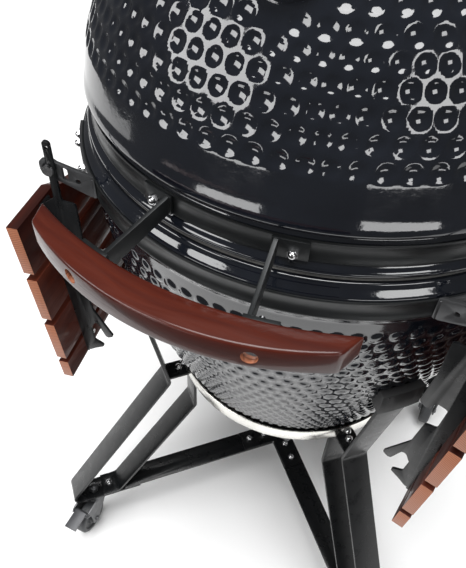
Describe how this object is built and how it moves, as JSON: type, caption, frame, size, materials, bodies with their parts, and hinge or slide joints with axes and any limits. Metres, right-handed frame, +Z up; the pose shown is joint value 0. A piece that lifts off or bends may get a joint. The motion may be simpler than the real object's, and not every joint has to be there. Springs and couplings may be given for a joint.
{
  "type": "kamado ceramic grill",
  "caption": "Egg-shaped dark ceramic charcoal grill with a hinged dimpled lid, curved wooden handle and folding wooden side shelves on a four-leg caster stand.",
  "frame": {"origin": "on the floor under the vertical axis of the ceramic body", "axes": "+Z up, -Y towards the handle side (front), +X to the right as seen from the front"},
  "size_m": [0.688, 0.8038, 1.2288],
  "materials": {
    "glazed_ceramic": "near-black glazed ceramic with round dimples, glossy",
    "gasket_felt": "dense woven heat-proof felt",
    "band_steel": "satin dark grey powder coat",
    "stand_steel": "satin black powder coat",
    "mount_steel": "satin mid-grey steel",
    "bolt_steel": "bright plated",
    "bright_steel": "bright stainless",
    "fire_ceramic": "matt unglazed fire clay",
    "vent_iron": "matt cast iron",
    "handle_wood": "dark red-brown gloss varnish",
    "shelf_wood": "red-brown varnish, salmon-orange cut ends",
    "gauge_chrome": "polished",
    "gauge_face": "white dial with plain graduations",
    "gauge_glass": "clear",
    "pad_rubber": "black rubber",
    "caster_steel": "zinc plated",
    "caster_wheel": "grey polyamide",
    "brake_steel": "dark grey satin"
  },
  "bodies": {
    "base": {"base_shell": "glazed_ceramic", "base_foot": "glazed_ceramic", "base_gasket": "gasket_felt", "base_band": "band_steel", "base_band_bolts": "bolt_steel", "fire_box": "fire_ceramic", "fire_ring": "fire_ceramic", "charcoal_grate": "vent_iron", "cooking_grate": "bright_steel", "draft_frame": "mount_steel", "hinge_base_bracket": "band_steel", "hinge_pin": "bolt_steel", "hinge_springs": "bolt_steel", "shelf_mounts_left": "mount_steel", "shelf_mounts_right": "mount_steel", "shelf_pins": "bolt_steel", "stand_ring": "bright_steel", "leg_front_left": "stand_steel", "leg_front_right": "stand_steel", "leg_rear_left": "stand_steel", "leg_rear_right": "stand_steel", "leg_stays": "stand_steel", "cross_brace": "stand_steel", "cross_hub": "stand_steel", "leg_pads": "pad_rubber", "stand_bolts": "bolt_steel", "caster_studs": "caster_steel"},
    "lid": {"lid_shell": "glazed_ceramic", "lid_gasket": "gasket_felt", "lid_band": "band_steel", "lid_band_bolts": "bolt_steel", "handle_bar": "handle_wood", "handle_brackets": "band_steel", "handle_bolts": "bolt_steel", "thermometer_case": "gauge_chrome", "thermometer_glass": "gauge_glass", "thermometer_dial": "gauge_face", "vent_base": "vent_iron", "hinge_lid_bracket": "band_steel"},
    "vent_slide": {"vent_slide": "vent_iron", "vent_pivot": "bolt_steel"},
    "vent_daisy": {"vent_daisy": "vent_iron"},
    "draft_door": {"draft_door": "mount_steel"},
    "shelf_left": {"shelf_supports_left": "stand_steel", "shelf_boards_left": "shelf_wood", "shelf_screws_left": "bolt_steel"},
    "shelf_right": {"shelf_supports_right": "stand_steel", "shelf_boards_right": "shelf_wood", "shelf_screws_right": "bolt_steel"},
    "fork_front_left": {"caster_fork_front_left": "caster_steel"},
    "wheel_front_left": {"caster_wheel_front_left": "caster_wheel"},
    "fork_front_right": {"caster_fork_front_right": "caster_steel"},
    "wheel_front_right": {"caster_wheel_front_right": "caster_wheel"},
    "fork_rear_left": {"caster_fork_rear_left": "caster_steel"},
    "wheel_rear_left": {"caster_wheel_rear_left": "caster_wheel"},
    "fork_rear_right": {"caster_fork_rear_right": "caster_steel"},
    "wheel_rear_right": {"caster_wheel_rear_right": "caster_wheel"},
    "brake_left": {"caster_brake_left": "brake_steel"},
    "brake_right": {"caster_brake_right": "brake_steel"}
  },
  "joints": [
    {"name": "lid_hinge", "type": "hinge", "parent": "base", "child": "lid", "pos_m": [0, 0.345, 0.874], "axis": [-1, 0, 0], "range_deg": [0, 70]},
    {"name": "vent_slide_open", "type": "slide", "parent": "lid", "child": "vent_slide", "axis": [0, 1, 0], "range_m": [0, 0.06]},
    {"name": "vent_daisy_turn", "type": "hinge", "parent": "vent_slide", "child": "vent_daisy", "pos_m": [0, 0, 1.22], "axis": [0, 0, 1], "range_deg": [0, 36]},
    {"name": "draft_door_slide", "type": "slide", "parent": "base", "child": "draft_door", "axis": [1, 0, 0], "range_m": [0, 0.08]},
    {"name": "shelf_left_fold", "type": "hinge", "parent": "base", "child": "shelf_left", "pos_m": [-0.26668, -0.04224, 0.858], "axis": [-0.1564, 0.9877, 0], "range_deg": [0, 94.5]},
    {"name": "shelf_right_fold", "type": "hinge", "parent": "base", "child": "shelf_right", "pos_m": [0.26668, -0.04224, 0.858], "axis": [-0.1564, -0.9877, 0], "range_deg": [0, 94.5]},
    {"name": "swivel_front_left", "type": "hinge", "parent": "base", "child": "fork_front_left", "pos_m": [-0.27577, -0.27577, 0.08], "axis": [0, 0, 1], "continuous": true},
    {"name": "wheel_spin_front_left", "type": "hinge", "parent": "fork_front_left", "child": "wheel_front_left", "pos_m": [-0.27577, -0.30377, 0.035], "axis": [1, 0, 0], "continuous": true},
    {"name": "swivel_front_right", "type": "hinge", "parent": "base", "child": "fork_front_right", "pos_m": [0.27577, -0.27577, 0.08], "axis": [0, 0, 1], "continuous": true},
    {"name": "wheel_spin_front_right", "type": "hinge", "parent": "fork_front_right", "child": "wheel_front_right", "pos_m": [0.27577, -0.30377, 0.035], "axis": [1, 0, 0], "continuous": true},
    {"name": "swivel_rear_left", "type": "hinge", "parent": "base", "child": "fork_rear_left", "pos_m": [-0.27577, 0.27577, 0.08], "axis": [0, 0, 1], "continuous": true},
    {"name": "wheel_spin_rear_left", "type": "hinge", "parent": "fork_rear_left", "child": "wheel_rear_left", "pos_m": [-0.27577, 0.24777, 0.035], "axis": [1, 0, 0], "continuous": true},
    {"name": "swivel_rear_right", "type": "hinge", "parent": "base", "child": "fork_rear_right", "pos_m": [0.27577, 0.27577, 0.08], "axis": [0, 0, 1], "continuous": true},
    {"name": "wheel_spin_rear_right", "type": "hinge", "parent": "fork_rear_right", "child": "wheel_rear_right", "pos_m": [0.27577, 0.24777, 0.035], "axis": [1, 0, 0], "continuous": true},
    {"name": "brake_press_left", "type": "hinge", "parent": "fork_front_left", "child": "brake_left", "pos_m": [-0.27577, -0.32177, 0.08], "axis": [1, 0, 0], "range_deg": [0, 15]},
    {"name": "brake_press_right", "type": "hinge", "parent": "fork_front_right", "child": "brake_right", "pos_m": [0.27577, -0.32177, 0.08], "axis": [1, 0, 0], "range_deg": [0, 15]}
  ]
}
